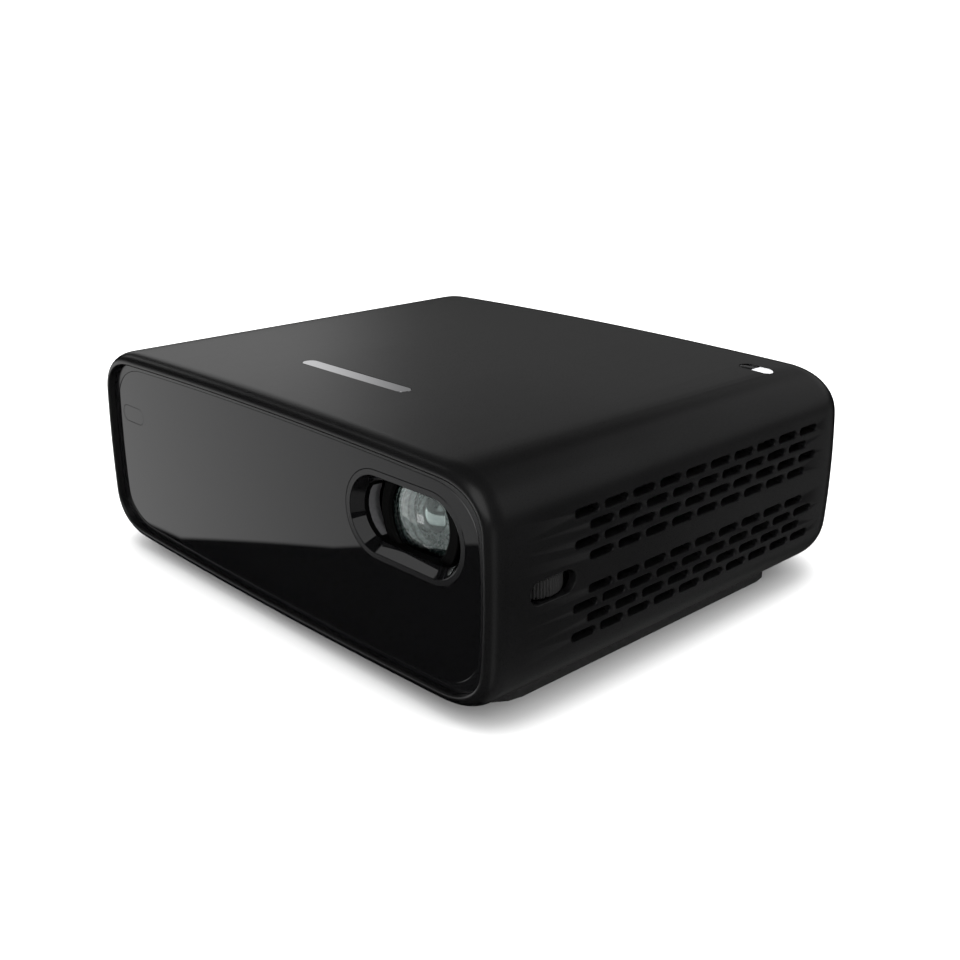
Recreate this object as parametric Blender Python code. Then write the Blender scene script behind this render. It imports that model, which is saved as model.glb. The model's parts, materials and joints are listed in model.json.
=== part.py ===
"""Pocket home projector, modelled as it comes apart on a bench.

Frame: X across the front (+X is the side with the focus wheel), Y front to back
(the lens looks along -Y), Z up. The origin lies under the middle of the body,
on the surface that the rubber base pad stands on.
All sizes below are millimetres; a mesh is scaled to metres when it is made.
"""
import math

import bmesh
import bpy

MM = 0.001
GAP = 0.3                       # clearance kept between neighbouring pieces

# ---- driving dimensions -----------------------------------------------------
WIDTH, DEPTH, BODY_HEIGHT = 115.0, 98.0, 41.0
FOOT = 1.4                      # how far the base pad lifts the body
BOW = 1.0                       # the faces swell outward by this much
CORNER_X, CORNER_Z, CORNER_POWER = 11.2, 9.0, 2.4
WALL = 2.35
FRONT_ROUND_IN, FRONT_ROUND_BACK = 2.0, 3.5
REAR_ROUND = 10.0

HALF_W = WIDTH / 2 - BOW
HALF_H = BODY_HEIGHT / 2 - BOW
MID_Z = FOOT + BODY_HEIGHT / 2
FRONT, REAR = -DEPTH / 2, DEPTH / 2

LENS_X, LENS_Z = 36.0, 28.7
PANEL_FACE = FRONT + 1.3
PANEL_INSET_X, PANEL_INSET_Z, PANEL_THICK = 4.0, 3.35, 1.2
PANEL_CORNER = (10.0, 8.0)
CARRIER_BACK = FRONT + 4.6
SURROUND_HALF_W, SURROUND_HALF_H = 14.2, 7.56
SURROUND_BACK = FRONT + 5.6
IR_X, IR_HALF_W, IR_HALF_H = -47.8, 3.9, 1.65

VENT_PITCH, VENT_LONG, VENT_TALL = 6.807, 5.7, 1.56
VENT_FIRST, VENT_SHIFT = -28.8, 3.4
# rows of slots: height above the middle of the side, and how many slots; shorter rows are shifted
VENT_ROWS = ((10.40, 10), (7.87, 9), (5.34, 10), (2.81, 9),
             (-2.81, 9), (-5.34, 10), (-7.87, 9), (-10.40, 10))
VENT_RAMP, VENT_LEAN = 3.2, 0.5

WHEEL_X, WHEEL_Y, WHEEL_R, WHEEL_THICK = 51.2, -36.2, 6.0, 3.2
WHEEL_SLOT_L, WHEEL_SLOT_H = 9.9, 3.8
WHEEL_RELIEF_L, WHEEL_RELIEF_H = 13.2, 4.6     # pocket behind the slot, clear of the wheel
AXLE_R, AXLE_BORE = 0.9, 1.2
PINION_R, PINION_TEETH = 2.4, 8
ADDENDUM, DEDENDUM = 0.40, 0.70
RACK_X = WHEEL_X - PINION_R     # pitch line of the rack
RACK_FIRST, RACK_TEETH = -2, 4

FOCUS_FRONT, FOCUS_LENGTH = FRONT + 6.2, 12.6
BARREL_R, BARREL_BORE, FOCUS_R, FOCUS_BORE, GLASS_R = 10.4, 9.5, 9.2, 8.0, 7.7

KEY_X, KEY_Y, KEY_HALF_L, KEY_HALF_W = 45.05, 32.3, 3.45, 1.15
BADGE_X, BADGE_Y, BADGE_HALF_L, BADGE_HALF_W = -0.5, -27.9, 15.0, 1.6

REAR_HALF_W, REAR_HALF_H = 45.5, 9.8
PAD_HALF_W, PAD_FRONT, PAD_REAR, PAD_CORNER = 50.3, -42.2, 37.3, 7.0
TRIPOD_Y, TRIPOD_BORE, TRIPOD_R, TRIPOD_HOLE = -2.0, 3.1, 5.0, 5.4
REAR_CORNER = 3.0
SCREW_PLACES = ((-40, -36), (40, -36), (-40, 33), (40, 33))

FAN_X, FAN_Y, FAN_HALF, FAN_THICK = -47.7, -13.5, 15.0, 8.2
ENGINE_LO, ENGINE_HI = (-8.0, -24.0, 14.0), (49.5, -3.0, 36.6)
LIGHT_Y = -13.5                 # line of the light path inside the engine
LED_X = (6.0, 17.3)             # red and blue stand side by side in the rear wall
BOARD_Z = 14.2                  # underside of the main board


# ---- materials --------------------------------------------------------------
def material(name, colour, roughness, metallic=0.0, alpha=1.0):
    mat = bpy.data.materials.new(name)
    mat.use_nodes = True
    shader = mat.node_tree.nodes["Principled BSDF"]
    shader.inputs["Base Color"].default_value = (*colour, 1.0)
    shader.inputs["Roughness"].default_value = roughness
    shader.inputs["Metallic"].default_value = metallic
    shader.inputs["Alpha"].default_value = alpha
    mat.diffuse_color = (*colour, 1.0)
    return mat


def make_materials():
    return {
        "soft_black": material("soft_touch_black", (0.022, 0.022, 0.023), 0.55),
        "gloss_black": material("gloss_black", (0.008, 0.008, 0.009), 0.06),
        "frame_grey": material("frame_grey", (0.05, 0.05, 0.052), 0.3),
        "moulded_black": material("moulded_black", (0.03, 0.03, 0.03), 0.5),
        "silver": material("polished_silver", (0.8, 0.8, 0.82), 0.15, 1.0),
        "steel": material("steel", (0.55, 0.55, 0.57), 0.3, 1.0),
        "brass": material("brass", (0.72, 0.52, 0.25), 0.3, 1.0),
        "copper": material("copper", (0.78, 0.4, 0.25), 0.3, 1.0),
        "aluminium": material("aluminium", (0.7, 0.7, 0.72), 0.35, 1.0),
        "magnesium": material("engine_alloy", (0.25, 0.25, 0.27), 0.5, 1.0),
        "board_green": material("board_green", (0.02, 0.16, 0.07), 0.45),
        "ceramic": material("chip_ceramic", (0.35, 0.33, 0.3), 0.5),
        "rubber": material("pad_rubber", (0.02, 0.02, 0.02), 0.8),
        "glass": material("lens_glass", (0.75, 0.85, 0.85), 0.02),
        "battery_wrap": material("battery_wrap", (0.12, 0.13, 0.16), 0.4),
        "flex": material("flex_amber", (0.55, 0.3, 0.06), 0.4),
        "red": material("led_red", (0.6, 0.03, 0.02), 0.3),
        "green": material("led_green", (0.03, 0.45, 0.06), 0.3),
        "blue": material("led_blue", (0.03, 0.06, 0.6), 0.3),
    }


# ---- outlines ---------------------------------------------------------------
def body_outline(inset, inset_z=None, corner=None, corner_steps=6):
    """Closed loop (x, z) of the bowed body at a given inset, counterclockwise seen from the front."""
    w, h = HALF_W - inset, HALF_H - (inset if inset_z is None else inset_z)
    rx, rz = corner or (max(CORNER_X - inset, 1.5), max(CORNER_Z - inset, 1.5))
    side_marks = (-9.13, -4.07, 0.0, 4.07, 9.13)
    quarter = []
    for i in range(corner_steps + 1):
        t = math.pi / 2 * i / corner_steps
        x = w - rx + rx * math.cos(t) ** (2 / CORNER_POWER)
        z = h - rz + rz * math.sin(t) ** (2 / CORNER_POWER)
        quarter.append((x, z))
    top = [(w - rx) * k / 3 for k in (2, 1, 0, -1, -2)]
    sides = [z * min(1.0, (h - rz) / 10.5) for z in side_marks]
    loop = list(quarter)
    loop += [(x, h) for x in top]
    loop += [(-x, z) for x, z in reversed(quarter)]
    loop += [(-w, z) for z in reversed(sides)]
    loop += [(-x, -z) for x, z in quarter]
    loop += [(-x, -h) for x in top]
    loop += [(x, -z) for x, z in reversed(quarter)]
    loop += [(w, z) for z in sides]
    bowed = []
    for x, z in loop:
        bow_z = BOW * (1 - (x / w) ** 2) * z / h
        bow_x = BOW * (1 - (z / h) ** 2) * x / w
        bowed.append((x + bow_x, MID_Z + z + bow_z))
    return bowed


def skin_z(x, inset=0.0):
    """Half height of the body's skin above or below its middle at x, at a given inset."""
    w, h = HALF_W - inset, HALF_H - inset
    rx, rz = CORNER_X - inset, CORNER_Z - inset
    over = max(0.0, (abs(x) - (w - rx)) / rx)
    z = h
    if over > 0:
        cosine = min(1.0, over ** (CORNER_POWER / 2))
        z = h - rz + rz * math.sqrt(1 - cosine * cosine) ** (2 / CORNER_POWER)
    return z + BOW * (1 - (x / w) ** 2) * z / h


def rounded_rect(cx, cy, half_w, half_h, radius, steps=4):
    loop = []
    for k, (sx, sy) in enumerate(((1, 1), (-1, 1), (-1, -1), (1, -1))):
        for i in range(steps + 1):
            t = math.pi / 2 * (k + i / steps)
            loop.append((cx + sx * (half_w - radius) + radius * math.cos(t),
                         cy + sy * (half_h - radius) + radius * math.sin(t)))
    return loop


def stadium(cx, cy, half_w, half_h, steps=8):
    """Slot shape with half-round ends; the long way is the first axis."""
    loop = []
    for side in (1, -1):
        for i in range(steps + 1):
            t = math.pi * i / steps - math.pi / 2
            loop.append((cx + side * (half_w - half_h + half_h * math.cos(t)),
                         cy + side * half_h * math.sin(t)))
    return loop


def circle(cx, cy, radius, steps=32):
    return [(cx + radius * math.cos(2 * math.pi * i / steps),
             cy + radius * math.sin(2 * math.pi * i / steps)) for i in range(steps)]


# ---- mesh makers ------------------------------------------------------------
PLACE = {
    "x": lambda u, v, along: (along, u, v),
    "y": lambda u, v, along: (u, along, v),
    "z": lambda u, v, along: (u, v, along),
}


def loft(sections, axis="y", closed=False):
    """Skin loops of equal length, each (outline, place along the axis); closed joins last to first."""
    bm = bmesh.new()
    rings = []
    for outline, along in sections:
        rings.append([bm.verts.new(PLACE[axis](u, v, along)) for u, v in outline])
    count = len(rings)
    size = len(rings[0])
    for k in range(count if closed else count - 1):
        low, high = rings[k], rings[(k + 1) % count]
        for i in range(size):
            j = (i + 1) % size
            bm.faces.new((low[i], low[j], high[j], high[i]))
    if not closed:
        bm.faces.new(rings[0])
        bm.faces.new(rings[-1])
    bmesh.ops.recalc_face_normals(bm, faces=bm.faces)
    return bm


def prism(outline, axis, low, high):
    return loft([(outline, low), (outline, high)], axis)


def box(low, high):
    outline = [(low[0], low[1]), (high[0], low[1]), (high[0], high[1]), (low[0], high[1])]
    return prism(outline, "z", low[2], high[2])


def turned(profile, axis, centre, steps=32):
    """Solid of revolution from (radius, place) pairs along an axis, capped at both ends."""
    sections = [(circle(centre[0], centre[1], radius, steps), along) for radius, along in profile]
    return loft(sections, axis)


def tube(outer, inner, axis, centre, low, high, steps=32):
    rings = [(outer, low), (outer, high), (inner, high), (inner, low)]
    sections = [(circle(centre[0], centre[1], radius, steps), along) for radius, along in rings]
    return loft(sections, axis, closed=True)


def stepped(blocks, axis, centre):
    """Stack of rectangles (half_u, half_v, low, high) along an axis, as one solid."""
    sections = []
    for half_u, half_v, low, high in blocks:
        outline = [(centre[0] - half_u, centre[1] - half_v), (centre[0] + half_u, centre[1] - half_v),
                   (centre[0] + half_u, centre[1] + half_v), (centre[0] - half_u, centre[1] + half_v)]
        sections += [(outline, low), (outline, high)]
    return loft(sections, axis)


def merged(*meshes):
    """Several separate solids in one mesh, for use as one cutter or one addition."""
    whole = bmesh.new()
    for bm in meshes:
        corners = {v: whole.verts.new(v.co) for v in bm.verts}
        for face in bm.faces:
            whole.faces.new([corners[v] for v in face.verts])
        bm.free()
    return whole


def to_mesh(bm, name, origin=(0, 0, 0)):
    for v in bm.verts:
        v.co = [(v.co[i] - origin[i]) * MM for i in range(3)]
    mesh = bpy.data.meshes.new(name)
    bm.to_mesh(mesh)
    bm.free()
    return mesh


def add(name, bm, mat, origin=(0, 0, 0), smooth=False):
    mesh = to_mesh(bm, name, origin)
    obj = bpy.data.objects.new(name, mesh)
    obj.location = [value * MM for value in origin]
    bpy.context.scene.collection.objects.link(obj)
    mesh.materials.append(mat)
    if smooth:
        mesh.shade_smooth()
        mesh.set_sharp_from_angle(angle=math.radians(35))
    return obj


def combine(obj, bm, operation):
    """Apply a Boolean with another solid, given in the shared frame, and drop the tool."""
    origin = [value / MM for value in obj.location]
    tool = bpy.data.objects.new("tool", to_mesh(bm, "tool", origin))
    tool.location = obj.location
    bpy.context.scene.collection.objects.link(tool)
    modifier = obj.modifiers.new(operation.lower(), "BOOLEAN")
    modifier.operation = operation
    modifier.solver = "EXACT"
    modifier.object = tool
    bpy.context.view_layer.update()
    graph = bpy.context.evaluated_depsgraph_get()
    result = bpy.data.meshes.new_from_object(obj.evaluated_get(graph))
    obj.modifiers.clear()
    obj.data = result
    bpy.data.objects.remove(tool)


def cut(obj, *solids):
    combine(obj, merged(*solids), "DIFFERENCE")


def join(obj, *solids):
    combine(obj, merged(*solids), "UNION")


# ---- casing -----------------------------------------------------------------
def vent_cutters(side):
    """Slots through one side wall; each has a ramp at its front end that leads air to the rear."""
    outer, inner = WIDTH / 2 + 0.5, WIDTH / 2 - WALL - 0.6
    cutters = []
    for height, count in VENT_ROWS:
        start = VENT_FIRST + (0.0 if count == 10 else VENT_SHIFT)
        for i in range(count):
            front = start + VENT_PITCH * i - VENT_LONG / 2
            rear = front + VENT_LONG
            low, high = MID_Z + height - VENT_TALL / 2, MID_Z + height + VENT_TALL / 2
            outline_out = [(front, low), (rear, low), (rear, high), (front, high)]
            outline_in = [(front + VENT_RAMP, low), (rear + VENT_LEAN, low),
                          (rear + VENT_LEAN, high), (front + VENT_RAMP, high)]
            cutters.append(loft([(outline_out, side * outer), (outline_in, side * inner)], "x"))
    return cutters


def sleeve_skin():
    """One-piece cup: outer skin from the front lip to the rear wall, and the cavity inside it."""
    sections = []
    for i in range(5):
        a = math.pi / 2 * i / 4
        inset = FRONT_ROUND_IN * (1 - math.sin(a))
        sections.append((body_outline(inset), FRONT + FRONT_ROUND_BACK * (1 - math.cos(a))))
    for i in range(6):
        a = math.pi / 2 * i / 5
        sections.append((body_outline(REAR_ROUND * (1 - math.cos(a))), REAR - REAR_ROUND * (1 - math.sin(a))))
    inner = []
    cavity_round = REAR_ROUND - WALL
    for i in range(4):
        a = math.pi / 2 * i / 3
        inner.append((body_outline(WALL + cavity_round * (1 - math.cos(a))),
                      REAR - REAR_ROUND + cavity_round * math.sin(a)))
    inner.insert(0, (body_outline(WALL), FRONT))
    return loft(list(reversed(inner)) + sections, "y")


def outer_sleeve(mats):
    obj = add("outer_sleeve", sleeve_skin(), mats["soft_black"])
    window = prism(rounded_rect(0, MID_Z, REAR_HALF_W, REAR_HALF_H, REAR_CORNER), "y", REAR - 6, REAR + 2)
    wheel = prism(stadium(WHEEL_Y, MID_Z, WHEEL_SLOT_L / 2, WHEEL_SLOT_H / 2), "x", 52, 60)
    key = prism(stadium(KEY_X, KEY_Y, KEY_HALF_L + GAP, KEY_HALF_W + GAP), "z", MID_Z + 10, MID_Z + 30)
    badge = prism(stadium(BADGE_X, BADGE_Y, BADGE_HALF_L + GAP, BADGE_HALF_W + GAP),
                  "z", MID_Z + 19.4, MID_Z + 30)
    tripod = turned([(TRIPOD_HOLE, -1), (TRIPOD_HOLE, 8)], "z", (0, TRIPOD_Y), 24)
    relief = prism(stadium(WHEEL_Y, MID_Z, WHEEL_RELIEF_L / 2, WHEEL_RELIEF_H / 2), "x", 50, 56)
    cut(obj, window, wheel, key, badge, tripod)
    cut(obj, relief)
    screws = []
    head_hole, shank_hole, seat = 2.5, 1.4, 3.0
    for x, y in SCREW_PLACES:
        profile = [(head_hole, -1), (head_hole, seat), (shank_hole, seat), (shank_hole, 8)]
        screws.append(turned(profile, "z", (x, y), 12))
    cut(obj, *screws)
    # two bosses under the roof hold the key's board
    bosses = []
    for x in (KEY_X - 9, KEY_X + 3.5):
        roof = MID_Z + skin_z(x) - WALL / 2
        bosses.append(turned([(1.5, 37.7), (1.5, roof)], "z", (x, KEY_Y + 5.6), 8))
    join(obj, *bosses)
    cut(obj, *vent_cutters(1))
    cut(obj, *vent_cutters(-1))
    return obj


def front_parts(mats):
    panel = body_outline(PANEL_INSET_X, PANEL_INSET_Z, PANEL_CORNER)
    pocket = body_outline(PANEL_INSET_X - GAP, PANEL_INSET_Z - GAP, PANEL_CORNER)
    rim = body_outline(WALL + GAP)
    tray = loft([(rim, CARRIER_BACK), (rim, PANEL_FACE), (pocket, PANEL_FACE),
                 (pocket, PANEL_FACE + PANEL_THICK + GAP)], "y")
    frame = add("front_frame", tray, mats["frame_grey"])
    cut(frame,
        prism(stadium(LENS_X, LENS_Z, SURROUND_HALF_W - 0.7, SURROUND_HALF_H - 0.7), "y", -47, -40),
        prism(stadium(IR_X, LENS_Z, IR_HALF_W - 0.4, IR_HALF_H - 0.4), "y", -47, -40))

    glass = add("front_panel", prism(panel, "y", PANEL_FACE, PANEL_FACE + PANEL_THICK), mats["gloss_black"])
    cut(glass,
        prism(stadium(LENS_X, LENS_Z, SURROUND_HALF_W + GAP, SURROUND_HALF_H + GAP), "y", -49, -45),
        prism(stadium(IR_X, LENS_Z, IR_HALF_W + GAP, IR_HALF_H + GAP), "y", -49, -45))

    # flange, body, back, straight wall and chamfer of the lens surround: (inset, place)
    ring = ((0.0, PANEL_FACE), (0.0, PANEL_FACE + 1.0), (1.0, PANEL_FACE + 1.0), (1.0, SURROUND_BACK),
            (2.3, SURROUND_BACK), (2.3, PANEL_FACE + 2.0), (1.0, PANEL_FACE))
    sections = [(stadium(LENS_X, LENS_Z, SURROUND_HALF_W - inset, SURROUND_HALF_H - inset, 10), place)
                for inset, place in ring]
    add("lens_surround", loft(sections, "y", closed=True), mats["gloss_black"], smooth=True)
    add("ir_window", prism(stadium(IR_X, LENS_Z, IR_HALF_W, IR_HALF_H), "y", PANEL_FACE, PANEL_FACE + 0.9),
        mats["gloss_black"])
    eye, can = (1.6, 0.9, -44.6, -44.1), (2.6, 2.4, -44.1, -41.8)
    add("ir_receiver", stepped((eye, can), "y", (IR_X, LENS_Z)), mats["moulded_black"])


def top_parts(mats):
    add("top_badge", prism(stadium(BADGE_X, BADGE_Y, BADGE_HALF_L, BADGE_HALF_W),
                           "z", MID_Z + 19.7, MID_Z + BODY_HEIGHT / 2 - 0.05), mats["silver"])
    outline = stadium(KEY_X, KEY_Y, KEY_HALF_L, KEY_HALF_W)
    key = prism(outline, "z", 0, 1)
    for v in key.verts:
        v.co.z = MID_Z + skin_z(v.co.x) - (0.0 if v.co.z > 0.5 else 2.9)
    add("power_key", key, mats["silver"], origin=(KEY_X, KEY_Y, MID_Z + skin_z(KEY_X)))
    add("key_board", box((34.0, 30.0, 36.3), (50.3, 39.6, 37.3)), mats["board_green"])
    can, plunger = (2.6, 2.6, 37.6, 38.0), (1.0, 0.9, 38.0, 38.15)
    add("key_switch", stepped((can, plunger), "z", (KEY_X, KEY_Y)), mats["steel"])


# ---- rear panel and its ports -----------------------------------------------
PORTS = {                       # centre x, half width, half height of the opening in the rear panel
    "hdmi_port": (-30.0, 7.5, 2.9),
    "usb_a_port": (-8.0, 7.1, 3.3),
    "usb_c_port": (12.0, 4.9, 2.1),
    "audio_jack": (30.0, 3.2, 3.2),
}
PORT_MID = {name: BOARD_Z + 1.5 + spec[2] for name, spec in PORTS.items()}


def rear_parts(mats):
    flange = (46.8, 10.6, 44.6, 46.1)
    panel = add("rear_panel", stepped((flange,), "y", (0, MID_Z)), mats["moulded_black"])
    face = rounded_rect(0, MID_Z, REAR_HALF_W - GAP, REAR_HALF_H - GAP, REAR_CORNER - 0.2)
    join(panel, prism(face, "y", 45.8, 48.6))
    holes = []
    for name, (x, half_w, half_h) in PORTS.items():
        if name == "audio_jack":
            holes.append(turned([(half_h, 44), (half_h, 50)], "y", (x, PORT_MID[name]), 20))
        else:
            holes.append(prism(rounded_rect(x, PORT_MID[name], half_w, half_h, 1.2, 2), "y", 44, 50))
    cut(panel, *holes)
    for name, (x, half_w, half_h) in PORTS.items():
        z = PORT_MID[name]
        hw, hh = half_w - GAP, half_h - GAP
        if name == "audio_jack":
            jack = add(name, turned([(hh, 35.0), (hh, 48.4)], "y", (x, z), 20), mats["moulded_black"])
            cut(jack, turned([(1.8, 37), (1.8, 50)], "y", (x, z), 20))
        else:
            corner = min(1.0, hh / 2)
            shell = add(name, prism(rounded_rect(x, z, hw, hh, corner, 2), "y", 36.0, 48.4), mats["steel"])
            mouth = rounded_rect(x, z, hw - 0.35, hh - 0.35, corner * 0.7, 2)
            cut(shell, prism(mouth, "y", 38.5, 50))


# ---- underside --------------------------------------------------------------
def base_parts(mats):
    half_d = (PAD_REAR - PAD_FRONT) / 2
    middle = (PAD_REAR + PAD_FRONT) / 2
    pad = bmesh.new()
    columns = 12
    half_flat = PAD_HALF_W - PAD_CORNER
    outline = []
    corner = rounded_rect(0, middle, PAD_HALF_W, half_d, PAD_CORNER, 4)
    for k in range(4):
        arc = corner[k * 5:k * 5 + 5]
        outline += arc
        if k in (0, 2):
            sign = 1 if k == 0 else -1
            for i in range(1, columns):
                outline.append((sign * half_flat * (1 - 2 * i / columns), arc[-1][1]))
    lower = [pad.verts.new((x, y, 0.0)) for x, y in outline]
    upper = [pad.verts.new((x, y, MID_Z - skin_z(x) - GAP)) for x, y in outline]
    pad.faces.new(list(reversed(lower)))
    size = len(outline)
    for i in range(size):
        j = (i + 1) % size
        pad.faces.new((lower[i], lower[j], upper[j], upper[i]))
    bridge_across(pad, upper)
    bmesh.ops.recalc_face_normals(pad, faces=pad.faces)
    obj = add("base_pad", pad, mats["rubber"])
    cut(obj, turned([(TRIPOD_HOLE, -1), (TRIPOD_HOLE, 4)], "z", (0, TRIPOD_Y), 24))

    flange = 6.8
    profile = [(TRIPOD_R, 0.5), (TRIPOD_R, 8.1), (flange, 8.1), (flange, 9.1)]
    insert = add("tripod_insert", turned(profile, "z", (0, TRIPOD_Y), 24), mats["brass"], smooth=True)
    cut(insert, turned([(TRIPOD_BORE, -1), (TRIPOD_BORE, 12)], "z", (0, TRIPOD_Y), 24))

    for number, (x, y) in enumerate(SCREW_PLACES, 1):
        screw = turned([(1.5, 1.95), (2.1, 2.2), (2.1, 2.7), (1.0, 2.7), (1.0, 9.0)], "z", (x, y), 16)
        obj = add(f"housing_screw_{number}", screw, mats["steel"], smooth=True)
        cut(obj, box((x - 1.1, y - 0.25, 1.8), (x + 1.1, y + 0.25, 2.3)))


def bridge_across(bm, ring):
    """Fill a curved outline with strips that join points at the same x, front to back."""
    columns = {}
    for v in ring:
        columns.setdefault(round(v.co.x, 3), []).append(v)
    order = sorted(columns)
    for a, b in zip(order, order[1:]):
        left = sorted(columns[a], key=lambda v: v.co.y)
        right = sorted(columns[b], key=lambda v: v.co.y)
        loop = [left[0], right[0]]
        if len(right) > 1:
            loop.append(right[-1])
        if len(left) > 1:
            loop.append(left[-1])
        bm.faces.new(loop)


def chassis(mats):
    floor, top = 5.4, 6.2       # posts start inside the plate
    plate = add("chassis", box((-45.5, -43, 5.0), (45.5, 40.0, top)), mats["moulded_black"])
    posts = []
    for x, y in SCREW_PLACES:
        posts.append(turned([(2.6, floor), (2.6, 10.0)], "z", (x, y), 10))
    for x in (0, 44):
        for y in (-20, -7):
            posts.append(turned([(2.0, floor), (2.0, ENGINE_LO[2] - GAP)], "z", (x, y), 8))
    for x in (-42.5, 42.5):
        for y in (14, 38.0):
            posts.append(turned([(1.8, floor), (1.8, BOARD_Z - GAP)], "z", (x, y), 8))
    # rails under the heat sink and the fan, and a collar round the tripod insert
    for x in (-36, -18):
        posts.append(box((x - 2, -25, floor), (x + 2, -2, 7.7)))
    posts.append(box((-45.2, -28, floor), (-43, 1, 6.6)))
    posts.append(turned([(7.6, floor), (7.6, 7.8)], "z", (0, TRIPOD_Y), 24))
    join(plate, *posts)
    holes = [turned([(5.3, 3), (5.3, 12)], "z", (0, TRIPOD_Y), 24)]
    holes += [turned([(1.3, 3), (1.3, 12)], "z", (x, y), 12) for x, y in SCREW_PLACES]
    cut(plate, *holes)


# ---- lens group and focus drive ---------------------------------------------
def lens_solid(radius, front, rear, front_bulge, rear_bulge, steps=24):
    """Round glass with domed faces; a bulge is how far the middle stands beyond the edge."""
    profile = []
    for i in range(3):
        r = max(radius * i / 3, 0.02)
        profile.append((r, front - front_bulge * (1 - (r / radius) ** 2)))
    profile += [(radius, front), (radius, rear)]
    for i in range(2, -1, -1):
        r = max(radius * i / 3, 0.02)
        profile.append((r, rear + rear_bulge * (1 - (r / radius) ** 2)))
    return turned(profile, "y", (LENS_X, LENS_Z), steps)


def lens_group(mats):
    centre = (LENS_X, LENS_Z)
    front = FRONT + 7.0
    barrel = add("lens_barrel", turned([(BARREL_R, front), (BARREL_R, -25.0)], "y", centre),
                 mats["moulded_black"], smooth=True)
    flange = rounded_rect(LENS_X, LENS_Z - 0.8, 11.5, 10.2, 1.5, 2)
    join(barrel, prism(flange, "y", -26.0, ENGINE_LO[1] - GAP))
    seat, rear_bore = -28.0, 7.0
    bore = [(BARREL_BORE, front - 1), (BARREL_BORE, seat), (rear_bore, seat), (rear_bore, -23)]
    cut(barrel, turned(bore, "y", centre))
    # slot that the rack's arm passes through
    cut(barrel, box((42.5, front - 1, 23.8), (47.5, -28.5, 27.4)))

    rear = FOCUS_FRONT + FOCUS_LENGTH
    sleeve = add("focus_sleeve", tube(FOCUS_R, FOCUS_BORE, "y", centre, FOCUS_FRONT, rear),
                 mats["moulded_black"], origin=(LENS_X, FOCUS_FRONT, LENS_Z), smooth=True)
    join(sleeve, rack())
    shift = (LENS_X, FOCUS_FRONT, LENS_Z)
    add("front_lens", lens_solid(GLASS_R, FOCUS_FRONT + 0.7, FOCUS_FRONT + 3.2, 1.6, 0.4),
        mats["glass"], origin=shift, smooth=True)
    add("middle_lens", lens_solid(GLASS_R, FOCUS_FRONT + 5.2, FOCUS_FRONT + 7.4, -0.6, 0.8),
        mats["glass"], origin=shift, smooth=True)
    add("rear_lens", lens_solid(6.7, -27.0, -25.4, 0.5, 0.5), mats["glass"], smooth=True)


def rack():
    """Toothed arm of the focus sleeve; its teeth face +X, towards the pinion."""
    pitch = 2 * math.pi * PINION_R / PINION_TEETH
    root, tip = RACK_X - DEDENDUM, RACK_X + ADDENDUM
    front, rear, back_x = -41.0, -32.6, 44.2
    outline = [(back_x, front), (root, front)]
    # a gap of the rack faces the pinion tooth that points at it, so teeth lie half a pitch either side
    for k in range(RACK_FIRST, RACK_FIRST + RACK_TEETH):
        middle = WHEEL_Y + (k + 0.5) * pitch
        outline += [(root, middle - 0.21 * pitch), (tip, middle - 0.10 * pitch),
                    (tip, middle + 0.10 * pitch), (root, middle + 0.21 * pitch)]
    outline += [(root, rear), (back_x, rear)]
    return prism(outline, "z", 24.2, 27.0)


def focus_wheel(mats):
    centre = (WHEEL_X, WHEEL_Y)
    low = MID_Z - WHEEL_THICK / 2
    high = MID_Z + WHEEL_THICK / 2
    ridges = 24
    knurl = []
    for i in range(ridges * 4):
        radius = WHEEL_R if i % 4 in (0, 1) else WHEEL_R - 0.35
        a = 2 * math.pi * (i + 0.5) / (ridges * 4)
        knurl.append((WHEEL_X + radius * math.cos(a), WHEEL_Y + radius * math.sin(a)))
    wheel = add("focus_wheel", prism(knurl, "z", low, high), mats["moulded_black"],
                origin=(WHEEL_X, WHEEL_Y, MID_Z))
    teeth = []
    root, tip = PINION_R - DEDENDUM, PINION_R + ADDENDUM
    step = 2 * math.pi / PINION_TEETH
    for i in range(PINION_TEETH):
        middle = math.pi + step * i
        for offset, radius in ((-0.22, root), (-0.09, tip), (0.09, tip), (0.22, root)):
            a = middle + offset * step
            teeth.append((WHEEL_X + radius * math.cos(a), WHEEL_Y + radius * math.sin(a)))
    join(wheel, prism(teeth, "z", high - 0.5, 27.4))
    cut(wheel, turned([(AXLE_BORE, 15), (AXLE_BORE, 30)], "z", centre, 16))
    head = 1.5
    axle = [(head, 17.2), (head, 17.8), (AXLE_R, 17.8), (AXLE_R, 30.2)]
    add("wheel_axle", turned(axle, "z", centre, 16), mats["steel"], smooth=True)
    web = [(41.5, 6.5), (45.5, 6.5), (45.5, 15.0), (53.5, 18.1), (53.5, 29.4),
           (48.2, 29.4), (48.2, 19.7), (41.5, 17.0)]
    bracket = add("wheel_bracket", prism(web, "y", -29.6, -28.2), mats["moulded_black"])
    for low, high in ((18.1, 19.7), (27.9, 29.4)):
        join(bracket, box((49.4, -39.0, low), (53.0, -28.6, high)))
    cut(bracket, turned([(AXLE_BORE, 15), (AXLE_BORE, 32)], "z", centre, 16))


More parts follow.
